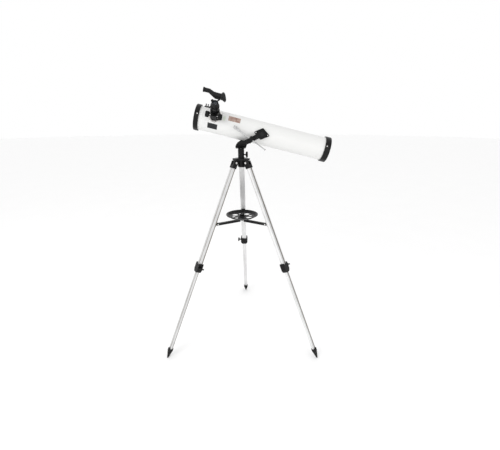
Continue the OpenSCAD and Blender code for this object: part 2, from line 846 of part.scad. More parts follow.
// Section of a leg: a flat extruded tube with shallow grooves along its faces.
module channel(w, d) {
    difference() {
        translate([-d / 2, -w / 2]) square([d, w]);
        translate([-d / 2 + leg_wall, -w / 2 + leg_wall]) square([d - 2 * leg_wall, w - 2 * leg_wall]);
        for (s = [-1, 1]) {
            translate([d / 2 - 0.45, s * w / 4 - 0.8]) square([1, 1.6]);
            translate([-d / 2 - 0.55, s * w / 4 - 0.8]) square([1, 1.6]);
            translate([-d / 4, s * (w / 2 + 0.05) - 0.5]) square([1.2, 1]);
        }
    }
}

module upper_leg(i) {
    color(silver) leg_frame(i) difference() {
        translate([0, 0, -upper_leg_end]) linear_extrude(upper_leg_end + 7.5)
            channel(upper_leg_w, upper_leg_d);
        translate([0, 0, -clamp_drop + clamp_screw_up]) along_y() cylinder(r = 3.2, h = 30);
    }
}

module lower_leg(i) {
    color(silver) leg_frame(i) translate([0, 0, -leg_length + foot_socket])
        linear_extrude(leg_length - foot_socket - lower_leg_top) channel(lower_leg_w, lower_leg_d);
}

// Shield-shaped clamp at the end of the upper leg, with two horns at the top.
module leg_clamp(i) {
    depth = upper_leg_d + 11;
    color(black) leg_frame(i) translate([0, 0, -clamp_drop]) difference() {
        union() {
            translate([-depth / 2, 0, 0]) rotate([90, 0, 90]) linear_extrude(depth) polygon([
                [-21, -10], [-21, 17], [-18.5, 26.5], [-15.5, 26.5], [-14, 18], [14, 18],
                [15.5, 26.5], [18.5, 26.5], [21, 17], [21, -10], [17, -19], [12, -25],
                [-12, -25], [-17, -19]
            ]);
            translate([0, 18, clamp_screw_up]) along_y() cylinder(r = 7, h = 5.5);
            for (z = [-10, 6]) {
                translate([-depth / 2 - 1.2, 0, z]) along_x() cylinder(r = 3.2, h = 3);
            }
        }
        translate([-upper_leg_d / 2 - 0.1, -upper_leg_w / 2 - 0.1, -8.1])
            cube([upper_leg_d + 0.2, upper_leg_w + 0.2, 60]);
        translate([-lower_leg_d / 2 - gap, -lower_leg_w / 2 - gap, -30])
            cube([lower_leg_d + 2 * gap, lower_leg_w + 2 * gap, 40]);
        translate([0, 0, clamp_screw_up]) along_y() cylinder(r = 3.05, h = 40);
    }
}

module clamp_screw(i) {
    color(black) leg_frame(i) translate([0, lower_leg_w / 2 + gap, -clamp_drop + clamp_screw_up])
        along_y() rotate([0, 0, 90]) wing_screw(3, 19, 32, 9);
}

// A rubber foot pushed on the lower leg, cut flat where it meets the floor.
module foot(i) {
    color(black) difference() {
        leg_frame(i) difference() {
            union() {
                translate([0, 0, -leg_length - 8]) cylinder(r1 = 2.6, r2 = 14.5, h = 52);
                translate([0, 0, -leg_length + 44 - eps]) cylinder(r = 14.5, h = 14);
            }
            translate([-lower_leg_d / 2 - eps, -lower_leg_w / 2 - eps, -leg_length + foot_socket - eps])
                cube([lower_leg_d + 2 * eps, lower_leg_w + 2 * eps, 60]);
        }
        translate([-600, -600, -60]) cube([1200, 1200, 60]);
    }
}

// ---------- struts and tray ----------

// Three channel struts with their brackets on the legs, and the spreader plate with its nut.
module struts() {
    plate_in = upper_leg_d / 2 + 3;
    color(black) {
        for (i = [0:2]) {
            leg_frame(i) translate([0, 0, -strut_pin_drop]) difference() {
                union() {
                    translate([-plate_in, -11.5, -14]) cube([3 - eps, 23, 28]);
                    for (s = [-1, 1]) {
                        translate([-strut_pin_in, s * 9.7 - 1.5, 0]) along_y() cylinder(r = 6.5, h = 3);
                        translate([-strut_pin_in, s * 9.7 - 1.5, -6.5])
                            cube([strut_pin_in - plate_in + 1, 3, 13]);
                    }
                }
                translate([-strut_pin_in, -20, 0]) along_y() cylinder(r = 2.5, h = 40);
            }
            rotate([0, 0, leg_azimuths[i]]) difference() {
                union() {
                    translate([14, -strut_w / 2, strut_top_z - strut_h])
                        cube([strut_pin_r - 14, strut_w, strut_h]);
                    translate([strut_pin_r, -strut_w / 2, strut_z]) along_y() cylinder(r = 4, h = strut_w);
                }
                translate([12, -strut_w / 2 + 1.6, strut_top_z - strut_h - 2])
                    cube([strut_pin_r - 22, strut_w - 3.2, strut_h + 0.4]);
                translate([strut_pin_r, -20, strut_z]) along_y() cylinder(r = 2.55, h = 40);
            }
        }
        translate([0, 0, strut_top_z + eps]) difference() {
            cylinder(r = 26, h = spreader_t - 2 * eps);
            translate([0, 0, -1]) cylinder(r = 3.05, h = 10);
        }
        translate([0, 0, strut_top_z - 7]) difference() {
            cylinder(r = 8, h = 7 + 2 * eps, $fn = 6);
            translate([0, 0, -1]) cylinder(r = 3.05, h = 10);
        }
    }
}

module strut_pins() {
    color(steel) {
        for (i = [0:2]) {
            rotate([0, 0, leg_azimuths[i]]) translate([strut_pin_r, 0, strut_z]) {
                translate([0, -11.35, 0]) along_y() cylinder(r = 2.48, h = 22.7);
                for (s = [-1, 1]) {
                    translate([0, s * 12.2 - 0.9, 0]) along_y() cylinder(r = 4, h = 1.8);
                }
            }
        }
    }
}

module accessory_tray() {
    color(black) difference() {
        rotate_extrude($fn = 128) polygon([
            [3.2, tray_seat_z], [16.5, tray_seat_z], [16.5, tray_floor_z], [66, tray_floor_z],
            [70, tray_floor_z + 1.5], [tray_r - 3.5, tray_rim_z - 3.5], [tray_r, tray_rim_z - 3],
            [tray_r, tray_rim_z], [tray_r - 4.5, tray_rim_z], [69, tray_floor_z + 3.6],
            [65.5, tray_floor_z + 2.6], [20, tray_floor_z + 2.6], [17, tray_floor_z + 6],
            [3.2, tray_floor_z + 6]
        ]);
        for (k = [0:3]) {
            rotate([0, 0, tray_first_hole + 45 + 90 * k]) translate([tray_hole_circle, 0, tray_floor_z - 5])
                cylinder(d = eyepiece_hole_d, h = 20);
            rotate([0, 0, tray_first_hole + 90 * k]) translate([tray_hole_circle, 0, tray_floor_z - 5])
                cylinder(d = small_hole_d, h = 20);
        }
    }
}

module tray_screw() {
    head_z = tray_floor_z + 6 + eps;
    color(black) {
        translate([0, 0, strut_top_z - 6]) cylinder(r = 3, h = head_z - strut_top_z + 7);
        translate([0, 0, head_z]) difference() {
            rotate_extrude() polygon([[0, 0], [11.5, 0], [12, 1], [12, 6.5], [10.5, 8], [0, 8.6]]);
            for (k = [0:11]) {
                rotate([0, 0, k * 30]) translate([12.9, 0, -1]) cylinder(r = 1.8, h = 12, $fn = 24);
            }
        }
    }
}

main_tube();
front_ring();
rear_cell();
tube_screws();
primary_mirror();
mirror_plate();
collimation_springs();
collimation_screws();
spider();
secondary_holder();
secondary_mirror();
side_plates();
pivot_bolts();
pivot_washers();
info_label();
colour_label();
small_label();
focuser_flange();
focuser_housing();
drawtube();
pinion_shaft();
focus_knobs();
eyepiece_barrel();
eyepiece_body();
eyepiece_lenses();
eyepiece_screw();
finder_bracket();
finder_body();
finder_lenses();
finder_eyecup();
rod_stud();
altitude_rod();
fine_tune_knob();
rod_swivel();
yoke();
azimuth_shaft();
thrust_washer();
tripod_hub();
azimuth_knob();
hinge_bolts();
leg_caps();
upper_leg(0);  // upper_leg_1
upper_leg(1);  // upper_leg_2
upper_leg(2);  // upper_leg_3
leg_clamp(0);  // leg_clamp_1
leg_clamp(1);  // leg_clamp_2
leg_clamp(2);  // leg_clamp_3
clamp_screw(0);  // clamp_screw_1
clamp_screw(1);  // clamp_screw_2
clamp_screw(2);  // clamp_screw_3
lower_leg(0);  // lower_leg_1
lower_leg(1);  // lower_leg_2
lower_leg(2);  // lower_leg_3
foot(0);  // foot_1
foot(1);  // foot_2
foot(2);  // foot_3
struts();
strut_pins();
accessory_tray();
tray_screw();
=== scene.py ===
import json
import math

import bmesh
import bpy
from mathutils import Matrix, Vector


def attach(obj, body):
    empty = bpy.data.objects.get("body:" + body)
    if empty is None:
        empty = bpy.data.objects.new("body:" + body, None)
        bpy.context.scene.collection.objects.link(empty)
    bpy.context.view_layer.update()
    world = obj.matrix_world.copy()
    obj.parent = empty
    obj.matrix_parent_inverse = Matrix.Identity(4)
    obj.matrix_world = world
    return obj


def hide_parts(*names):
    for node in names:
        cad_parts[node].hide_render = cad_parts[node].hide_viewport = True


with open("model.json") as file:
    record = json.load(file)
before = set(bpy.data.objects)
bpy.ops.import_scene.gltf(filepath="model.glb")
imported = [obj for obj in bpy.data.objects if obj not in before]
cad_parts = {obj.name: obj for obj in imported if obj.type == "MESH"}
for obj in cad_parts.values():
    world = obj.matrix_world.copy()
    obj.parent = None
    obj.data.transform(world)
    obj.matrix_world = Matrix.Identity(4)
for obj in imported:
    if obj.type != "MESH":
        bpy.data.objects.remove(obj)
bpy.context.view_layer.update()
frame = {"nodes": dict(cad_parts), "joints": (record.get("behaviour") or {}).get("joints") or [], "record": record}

nodes = frame["nodes"]
record = frame["record"]
scene = bpy.context.scene

# ------------------------------------------------------------------ frames
JOINTS = {j["name"]: j for j in frame["joints"]}
PIVOT = Vector(JOINTS["altitude_tilt"]["pos_m"])
TUBE_AXIS = Vector(JOINTS["focus_spin"]["axis"]).normalized()
REST = math.atan2(-TUBE_AXIS.z, TUBE_AXIS.x)
TUBE = Matrix.Translation(PIVOT) @ Matrix.Rotation(REST, 4, "Y")
FOCUSER_X = -0.2365
FOCUSER_TURN = math.radians(57)
FOCUSER = TUBE @ Matrix.Translation((FOCUSER_X, 0, 0)) @ Matrix.Rotation(FOCUSER_TURN, 4, "X")
ROD_FOOT = (-0.130, -0.082, 0)
ROD_DROP = math.radians(22.2)
ROD = TUBE @ Matrix.Translation(ROD_FOOT) @ Matrix.Rotation(ROD_DROP, 4, "Y")

# The top of each leg, out from the azimuth axis and up, and the circle on which the legs meet the floor
LEG_TOP = (0.0465, 1.0174)
FOOT_CIRCLE = 0.480
LEG_TILT = math.atan((FOOT_CIRCLE - LEG_TOP[0]) / LEG_TOP[1])
LEG_LENGTH = LEG_TOP[1] / math.cos(LEG_TILT)
LEG_AZIMUTHS = (210, 330, 90)
LEG_COUNT = len(LEG_AZIMUTHS)


def leg(i):
    """The frame of one leg: Z runs up along it, X points away from the azimuth axis."""
    return (Matrix.Rotation(math.radians(LEG_AZIMUTHS[i]), 4, "Z")
            @ Matrix.Translation((LEG_TOP[0], 0, LEG_TOP[1]))
            @ Matrix.Rotation(-LEG_TILT, 4, "Y"))


# --------------------------------------------------------------- materials
# Stretches a pattern into lines along X
ALONG_X = (0.02, 1, 1)


class Nodes:
    """A small helper that builds a material's node tree."""

    def __init__(self, name, local=Matrix.Identity(4)):
        self.mat = bpy.data.materials.new(name)
        self.mat.use_nodes = True
        self.tree = self.mat.node_tree
        self.bsdf = self.tree.nodes["Principled BSDF"]
        coords = self.add("ShaderNodeTexCoord").outputs["Object"]
        place = self.add("ShaderNodeMapping")
        place.vector_type = "TEXTURE"
        place.inputs["Location"].default_value = local.to_translation()
        place.inputs["Rotation"].default_value = local.to_euler()
        self.link(coords, place.inputs["Vector"])
        self.here = place.outputs["Vector"]

    def add(self, kind):
        return self.tree.nodes.new(kind)

    def link(self, a, b):
        self.tree.links.new(a, b)

    def scaled(self, scale):
        n = self.add("ShaderNodeMapping")
        n.inputs["Scale"].default_value = scale
        self.link(self.here, n.inputs["Vector"])
        return n.outputs["Vector"]

    def noise(self, scale, detail=4.0, rough=0.55, stretch=None):
        n = self.add("ShaderNodeTexNoise")
        n.inputs["Scale"].default_value = scale
        n.inputs["Detail"].default_value = detail
        n.inputs["Roughness"].default_value = rough
        self.link(self.scaled(stretch) if stretch else self.here, n.inputs["Vector"])
        return n.outputs["Fac"]

    def ramp(self, fac, stops):
        n = self.add("ShaderNodeValToRGB")
        ramp = n.color_ramp
        while len(ramp.elements) < len(stops):
            ramp.elements.new(0.5)
        for e, (at, colour) in zip(ramp.elements, stops):
            e.position = at
            e.color = (*colour, 1)
        self.link(fac, n.inputs["Fac"])
        return n.outputs["Color"]

    def spread(self, fac, low, high, start=0.3, end=0.7):
        n = self.add("ShaderNodeMapRange")
        for key, value in (("From Min", start), ("From Max", end), ("To Min", low), ("To Max", high)):
            n.inputs[key].default_value = value
        self.link(fac, n.inputs["Value"])
        return n.outputs["Result"]

    def maths(self, operation, a, *others):
        """A Math node; each of the other inputs is a socket or a number."""
        n = self.add("ShaderNodeMath")
        n.operation = operation
        self.link(a, n.inputs[0])
        for socket, other in zip(n.inputs[1:], others):
            if isinstance(other, (int, float)):
                socket.default_value = other
            else:
                self.link(other, socket)
        return n.outputs["Value"]

    def sum(self, a, b, weight=1.0):
        """a + weight * b"""
        return self.maths("MULTIPLY_ADD", b, weight, a)

    def axes(self):
        """The X, Y and Z sockets of the place being shaded."""
        n = self.add("ShaderNodeSeparateXYZ")
        self.link(self.here, n.inputs[0])
        return n.outputs["X"], n.outputs["Y"], n.outputs["Z"]

    def bump(self, height, strength, distance):
        n = self.add("ShaderNodeBump")
        n.inputs["Strength"].default_value = strength
        n.inputs["Distance"].default_value = distance
        self.link(height, n.inputs["Height"])
        self.link(n.outputs["Normal"], self.bsdf.inputs["Normal"])

    def colour(self, socket):
        self.link(socket, self.bsdf.inputs["Base Color"])

    def roughness(self, socket):
        self.link(socket, self.bsdf.inputs["Roughness"])

    def set(self, **values):
        for key, value in values.items():
            self.bsdf.inputs[key.replace("_", " ")].default_value = value


def shade(colour, factor):
    """A lighter or darker colour."""
    return tuple(min(1.0, value * factor) for value in colour)


def grey(value):
    return (value, value, value)


def plastic(name, colour, rough=0.4, grain=900, depth=0.00005, coat=0.0, gloss=0.3, local=Matrix.Identity(4)):
    """Moulded plastic: slow tone changes, a fine moulded grain and faint scuffs."""
    m = Nodes(name, local)
    tone = m.noise(14, 3)
    scuff = m.noise(260, 6, 0.7, (1, 1, 0.12))
    m.colour(m.ramp(m.sum(tone, scuff, 0.35), [(0.45, shade(colour, 0.72)), (0.72, shade(colour, 1.25)),
                                               (0.95, shade(colour, 2.1))]))
    m.roughness(m.spread(m.sum(m.noise(60, 5), scuff, 0.4), rough - 0.1, rough + 0.12, 0.45, 0.95))
    m.bump(m.sum(m.noise(grain, 3), m.noise(35, 2), 0.6), 0.35, depth)
    m.set(Coat_Weight=coat, Coat_Roughness=0.2, Specular_IOR_Level=gloss)
    return m.mat


def paint(name, colour, rough=0.35, peel=420, depth=0.00006, coat=0.25, dust=0.04, gloss=0.3,
          local=Matrix.Identity(4)):
    """Sprayed paint on metal: orange peel, a little dust and a clear gloss."""
    m = Nodes(name, local)
    tone = m.noise(5, 3)
    dots = m.noise(700, 2)
    light = shade(colour, 1 + dust)
    m.colour(m.ramp(m.sum(tone, dots, 0.25), [(0.45, shade(colour, 1 - dust)), (0.62, colour), (0.8, light)]))
    m.roughness(m.spread(m.noise(40, 5), rough - 0.07, rough + 0.08))
    m.bump(m.sum(m.noise(peel, 2), m.noise(peel / 6, 2), 0.5), 0.25, depth)
    m.set(Coat_Weight=coat, Coat_Roughness=0.12, Specular_IOR_Level=gloss)
    return m.mat


def metal(name, colour, rough=0.3, stretch=(1, 1, 1), scale=500, local=Matrix.Identity(4), metallic=1.0):
    """Machined or extruded metal: fine lines along one direction and slight tarnish."""
    m = Nodes(name, local)
    lines = m.noise(scale, 4, 0.6, stretch)
    tarnish_and_painted_shade = m.noise(18, 4)
    m.colour(m.ramp(m.sum(lines, tarnish_and_painted_shade, 0.7), [(0.55, shade(colour, 0.8)), (0.85, colour),
                                                 (1.05, shade(colour, 1.12))]))
    m.roughness(m.spread(m.sum(lines, tarnish_and_painted_shade, 0.5), rough - 0.08, rough + 0.12, 0.5, 1.0))
    m.bump(lines, 0.4, 0.00004)
    m.set(Metallic=metallic, Specular_IOR_Level=0.5)
    return m.mat


def leg_metal(name, look, rough, local, size):
    """Anodised extrusion: drawn lines, painted shade darkening the inner side, and a painted shade line on the
    outer face; the grey itself carries each leg's painted light.
    """
    grey_with_painted_light, painted_shade_strip, edge = look
    colour = grey(grey_with_painted_light)
    depth, width = size
    m = Nodes(name, local)
    lines = m.noise(420, 4, 0.6, (1, 1, 0.008))
    smudge = m.noise(9, 4)
    x, y, _ = m.axes()
    # Painted shade: the inner part of the side faces is darkened as if in a recess, by each leg's strip amount
    inner = m.spread(x, painted_shade_strip, 0.0, -0.0042, -0.0022)
    # Painted shade and painted reflection: a dark line on the outer face, as deep as each leg's edge amount
    outer_face = m.spread(x, 0.0, edge, depth / 2 - 0.002, depth / 2 - 0.001)
    off_line = m.maths("ABSOLUTE", m.maths("SUBTRACT", y, width / 8))
    on_line = m.spread(off_line, 1.0, 0.0, width / 8, width / 8 + 0.002)
    tarnish_and_painted_shade = m.maths("MULTIPLY", outer_face, on_line)
    tone = m.sum(m.sum(m.sum(lines, smudge, 0.6), inner, -1.0), tarnish_and_painted_shade, -1.0)
    # The dark warm colours at the low end of this ramp are the painted shade colours
    m.colour(m.ramp(tone, [(0.1, (0.17, 0.15, 0.125)), (0.35, (0.34, 0.32, 0.29)), (0.6, shade(colour, 0.82)),
                           (0.8, colour), (1.0, shade(colour, 1.06))]))
    m.roughness(m.spread(m.sum(lines, smudge, 0.5), rough - 0.06, rough + 0.1, 0.5, 1.0))
    m.bump(lines, 0.4, 0.00003)
    m.set(Metallic=0.6, Specular_IOR_Level=0.5)
    return m.mat


def tube_screw_metal(name):
    """Bright screws in the end rings and side plates, and blackened studs and nuts under the finder."""
    m = Nodes(name, TUBE)
    lines = m.noise(900, 4, 0.6, ALONG_X)
    tarnish_and_painted_shade = m.noise(18, 4)
    studs_x = -0.287
    away = m.maths("ABSOLUTE", m.maths("SUBTRACT", m.axes()[0], studs_x))
    blackened = m.spread(away, 1.0, 0.0, 0.014, 0.016)
    tone = m.sum(m.sum(lines, tarnish_and_painted_shade, 0.7), blackened, -1.0)
    m.colour(m.ramp(tone, [(0.0, (0.008, 0.008, 0.009)), (0.4, (0.02, 0.02, 0.021)),
                           (0.55, (0.58, 0.57, 0.56)), (1.0, (0.78, 0.77, 0.76))]))
    m.roughness(m.spread(m.sum(lines, tarnish_and_painted_shade, 0.5), 0.2, 0.4, 0.5, 1.0))
    m.bump(lines, 0.4, 0.00004)
    m.set(Metallic=1.0, Specular_IOR_Level=0.5)
    return m.mat


def label(name, centre, half, print_colours, border, scale):
    """
    A printed label on the tube: soft colour patches inside a thin border, with no lettering.
    centre and half are its middle and half size, along the tube in metres and round it in radians.
    """
    m = Nodes(name, TUBE)
    x, y, z = m.axes()
    turn = m.maths("ARCTAN2", z, m.maths("MULTIPLY", y, -1.0))
    shares = [m.maths("DIVIDE", m.maths("ABSOLUTE", m.maths("SUBTRACT", socket, middle)), reach)
              for socket, middle, reach in zip((x, turn), centre, half)]
    edge = m.maths("MAXIMUM", *shares)
    picture = m.ramp(m.sum(m.noise(scale, 6, 0.65), m.noise(scale * 6, 2), 0.25), print_colours)
    line = m.ramp(edge, [(0.84, grey(0)), (0.86, grey(1)), (0.92, grey(1)), (0.94, grey(0))])
    mix = m.add("ShaderNodeMix")
    mix.data_type = "RGBA"
    m.link(line, mix.inputs["Factor"])
    m.link(picture, mix.inputs["A"])
    mix.inputs["B"].default_value = (*border, 1)
    m.colour(mix.outputs["Result"])
    m.roughness(m.spread(m.noise(90, 4), 0.28, 0.42))
    m.bump(m.noise(600, 2), 0.2, 0.00003)
    m.set(Coat_Weight=0.1, Specular_IOR_Level=0.3)
    return m.mat


def rubber(name, colour, rough):
    """Moulded rubber with a pale bloom and a fine grain."""
    m = Nodes(name)
    bloom = m.noise(22, 5, 0.65)
    m.colour(m.ramp(bloom, [(0.3, shade(colour, 0.7)), (0.55, colour), (0.8, shade(colour, 1.9))]))
    m.roughness(m.spread(m.noise(80, 4), rough - 0.08, rough + 0.12))
    m.bump(m.sum(m.noise(1200, 3), m.noise(120, 3), 0.7), 0.5, 0.00008)
    m.set(Specular_IOR_Level=0.35)
    return m.mat


def glass(name):
    """Lens glass, faintly smeared, with a dark tint that is partly the glass's own and partly painted shade for
    the dark inside of the eyepiece.
    """
    m = Nodes(name)
    # The dark tint: a slight real glass tint plus painted shade for the eyepiece's dark inside
    m.colour(m.ramp(m.noise(8, 2), [(0.3, (0.1, 0.14, 0.16)), (0.7, (0.12, 0.12, 0.18))]))
    m.roughness(m.spread(m.noise(150, 4), 0.03, 0.08))
    m.set(Transmission_Weight=0.85, IOR=1.5, Specular_IOR_Level=0.3)
    return m.mat


def mirror(name):
    """Aluminised mirror with a trace of haze."""
    m = Nodes(name)
    m.colour(m.ramp(m.noise(30, 3), [(0.35, (0.87, 0.89, 0.91)), (0.7, (0.93, 0.94, 0.95))]))
    m.roughness(m.spread(m.noise(400, 5), 0.015, 0.04))
    m.set(Metallic=1.0)
    return m.mat


# One material for each slot of the record; a node's own name comes before its slot
materials = {
    "tube_white": paint("tube_paint", (0.74, 0.74, 0.73), 0.34, coat=0.15, dust=0.012, gloss=0.35,
                        local=TUBE),
    "ring_black": plastic("ring_plastic", (0.005, 0.005, 0.0052), 0.32, coat=0.04, gloss=0.18),
    "screw_steel": metal("screw_metal", (0.72, 0.71, 0.7), 0.28, ALONG_X, 900),
    "mirror_coating": mirror("mirror_coat"),
    "cell_aluminium": metal("cell_metal", (0.55, 0.55, 0.56), 0.4),
    "spider_black": paint("spider_paint", (0.015, 0.015, 0.015), 0.6, coat=0.0, dust=0.3),
    "mount_black": paint("mount_paint", (0.005, 0.0053, 0.0055), 0.36, peel=600, depth=0.0001, coat=0.02,
                         dust=0.3, gloss=0.16),
    "bolt_black": paint("bolt_paint", (0.009, 0.009, 0.0095), 0.3, dust=0.3, coat=0.08, gloss=0.2),
    "nylon": plastic("nylon_plastic", (0.6, 0.6, 0.56), 0.5),
    "label_black": label("info_label_print", (-0.2395, math.radians(-22.5)), (0.0235, math.radians(13.5)),
                         [(0.45, (0.004, 0.005, 0.005)), (0.75, (0.012, 0.014, 0.016))],
                         (0.03, 0.034, 0.034), 60),
    "label_brown": label("colour_label_print", (-0.142, math.radians(36.5)), (0.029, math.radians(13.5)),
                         [(0.42, (0.16, 0.085, 0.065)), (0.58, (0.33, 0.215, 0.18)),
                          (0.72, (0.4, 0.3, 0.255)), (0.85, (0.58, 0.5, 0.43))], (0.42, 0.31, 0.26), 110),
    "label_grey": label("small_label_print", (-0.19, math.radians(29)), (0.006, math.radians(13)),
                        [(0.45, (0.56, 0.62, 0.53)), (0.75, (0.66, 0.7, 0.62))], (0.7, 0.73, 0.67), 90),
    "flange_grey": metal("flange_metal", (0.74, 0.72, 0.7), 0.14, local=FOCUSER),
    "focuser_black": plastic("focuser_plastic", (0.004, 0.004, 0.0042), 0.28, coat=0.04, gloss=0.16),
    "drawtube_black": paint("drawtube_paint", (0.008, 0.008, 0.0085), 0.32, dust=0.2, coat=0.05, gloss=0.2,
                            local=FOCUSER),
    "knob_black": plastic("knob_plastic", (0.006, 0.006, 0.006), 0.42, gloss=0.16),
    "barrel_chrome": metal("barrel_metal", (0.78, 0.78, 0.79), 0.15, (1, 1, 0.02), local=FOCUSER),
    "eyepiece_black": plastic("eyepiece_plastic", (0.006, 0.006, 0.006), 0.38, gloss=0.2),
    "lens_glass": glass("coated_glass"),
    "finder_black": plastic("finder_plastic", (0.006, 0.006, 0.0065), 0.36, coat=0.02, gloss=0.18),
    "soft_rubber": rubber("soft_rubber", (0.009, 0.009, 0.0095), 0.6),
    "rod_steel": metal("rod_metal", (0.5, 0.5, 0.5), 0.26, ALONG_X, 700, local=ROD, metallic=0.85),
    "knob_silver": metal("knob_metal", (0.55, 0.55, 0.55), 0.32, ALONG_X, 700, local=ROD, metallic=0.85),
    "hub_black": plastic("hub_plastic", (0.005, 0.005, 0.0052), 0.38, gloss=0.16),
    "clamp_black": plastic("clamp_plastic", (0.005, 0.005, 0.0052), 0.4, gloss=0.16),
    "foot_rubber": rubber("foot_rubber", (0.008, 0.008, 0.008), 0.75),
    "strut_black": paint("strut_paint", (0.005, 0.005, 0.005), 0.38, dust=0.3, coat=0.02, gloss=0.16),
    "tube_screws": tube_screw_metal("tube_screw_metal"),
    "tray_black": plastic("tray_plastic", (0.006, 0.006, 0.0062), 0.32, coat=0.03, gloss=0.2),
}

# Depth and width of the two leg sections
UPPER_LEG = (0.016, 0.028)
LOWER_LEG = (0.0115, 0.023)
# Each leg's grey with painted light (the legs are alike, but each is toned to how light falls on it), and how dark
# the painted shade on its inner side and the painted shade line on its outer face are
LEG_LOOKS_WITH_PAINTED_LIGHT = ((0.7, 0.65, 0.4), (0.8, 0.16, 0.75), (0.76, 0.0, 0.14))
for i, look in enumerate(LEG_LOOKS_WITH_PAINTED_LIGHT):
    number = i + 1
    materials[f"upper_leg_{number}"] = leg_metal(f"leg_metal_{number}", look, 0.38, leg(i), UPPER_LEG)
    materials[f"lower_leg_{number}"] = leg_metal(f"inner_leg_metal_{number}", look, 0.4, leg(i), LOWER_LEG)


def dress(obj, material):
    """Gives an object one material."""
    obj.data.materials.clear()
    obj.data.materials.append(material)


for part in record["subparts"]:
    name, slot = part["node"], part["material_slot"]
    dress(nodes[name], materials[name] if name in materials else materials[slot])


# ----------------------------------------------------------- detail pieces
def add_piece(name, bm, body, slot, node):
    """Makes a smooth object that rides on a body and replaces one CAD node."""
    for f in bm.faces:
        f.smooth = True
    me = bpy.data.meshes.new(name)
    bm.to_mesh(me)
    bm.free()
    obj = bpy.data.objects.new(name, me)
    scene.collection.objects.link(obj)
    dress(obj, materials[slot])
    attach(obj, body)
    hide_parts(node)
    return obj


def circle(radius, z, segments, place=Matrix.Identity(4)):
    """The points of a level circle, or its one middle point when the radius is 0."""
    if radius == 0:
        return [place @ Vector((0, 0, z))]
    angles = (2 * math.pi * k / segments for k in range(segments))
    return [place @ Vector((radius * math.cos(t), radius * math.sin(t), z)) for t in angles]


def lathe(bm, profile, place, segments):
    """Adds a closed turned shape; profile is [(radius, z)], from the lower end to the upper end."""
    rings = [[bm.verts.new(p) for p in circle(r, z, segments, place)] for r, z in profile]
    for a, b in zip(rings, rings[1:]):
        for k in range(segments):
            n = (k + 1) % segments
            if len(a) == 1:
                bm.faces.new((a[0], b[n], b[k]))
            elif len(b) == 1:
                bm.faces.new((a[k], a[n], b[0]))
            else:
                bm.faces.new((a[k], a[n], b[n], b[k]))


def sweep(bm, points, radius, sides):
    """Adds a round rod along points, with flat ends."""
    rings = []
    for k, p in enumerate(points):
        ahead = (points[min(k + 1, len(points) - 1)] - points[max(k - 1, 0)]).normalized()
        u = ahead.orthogonal().normalized() if k == 0 else (u - ahead * u.dot(ahead)).normalized()
        v = ahead.cross(u)
        rings.append([bm.verts.new(p + radius * (u * math.cos(t) + v * math.sin(t)))
                      for t in (2 * math.pi * j / sides for j in range(sides))])
    for a, b in zip(rings, rings[1:]):
        for j in range(sides):
            n = (j + 1) % sides
            bm.faces.new((a[j], a[n], b[n], b[j]))
    bm.faces.new(list(reversed(rings[0])))
    bm.faces.new(rings[-1])


def coil_springs():
    """Coil springs round the three collimation screws, between the mirror plate and the rear cell."""
    start, end = 0.3285, 0.3352
    screw_circle = 0.046
    radius, wire = 0.004, 0.0006
    turns, steps = 3.2, 84
    bm = bmesh.new()
    for angle in (30, 150, 270):
        place = (TUBE @ Matrix.Rotation(math.radians(angle), 4, "X")
                 @ Matrix.Translation((0, 0, screw_circle)))
        points = []
        for k in range(steps + 1):
            t = 2 * math.pi * turns * k / steps
            along = start + (end - start) * k / steps
            points.append(place @ Vector((along, radius * math.cos(t), radius * math.sin(t))))
        sweep(bm, points, wire, 8)
    add_piece("coil_springs", bm, "tube", "screw_steel", "collimation_springs")


def rubber_foot(i):
    """A ribbed rubber cone with a grooved collar, cut flat by the floor."""
    tip_r, tip_z = 0.0026, -0.008
    cone_top, cone_steps = 0.044, 26
    growth = 0.0119 / 0.052
    plain_to = 0.01
    rib_depth, rib_pitch, inset = 0.0006, 0.0088, 0.0008
    collar_r, groove_r = 0.0145, 0.0136
    profile = [(0, tip_z), (tip_r, tip_z)]
    for k in range(1, cone_steps + 1):
        z = cone_top * k / cone_steps
        rib = rib_depth * math.cos(2 * math.pi * z / rib_pitch) if z > plain_to else 0
        profile.append((tip_r + growth * (z - tip_z) + rib - inset, z))
    profile += [(collar_r, 0.0455), (collar_r, 0.0478), (groove_r, 0.0484), (groove_r, 0.0502),
                (collar_r, 0.0508), (collar_r, 0.0566), (0.0138, 0.058), (0, 0.058)]
    bm = bmesh.new()
    lathe(bm, profile, leg(i) @ Matrix.Translation((0, 0, -LEG_LENGTH)), 40)
    bmesh.ops.recalc_face_normals(bm, faces=bm.faces)
    cut = bmesh.ops.bisect_plane(bm, geom=bm.verts[:] + bm.edges[:] + bm.faces[:], plane_co=(0, 0, 0),
                                 plane_no=(0, 0, 1), clear_inner=True)
    rim = [e for e in cut["geom_cut"] if isinstance(e, bmesh.types.BMEdge)]
    bmesh.ops.edgeloop_fill(bm, edges=rim)
    add_piece(f"rubber_foot_{i + 1}", bm, f"lower_leg_{i + 1}", "foot_rubber", f"foot_{i + 1}")


def ball(bm, place, centre, radii):
    """Adds an ellipsoid."""
    matrix = place @ Matrix.Translation(centre) @ Matrix.Diagonal((*radii, 1))
    bmesh.ops.create_uvsphere(bm, u_segments=24, v_segments=16, radius=1, matrix=matrix)


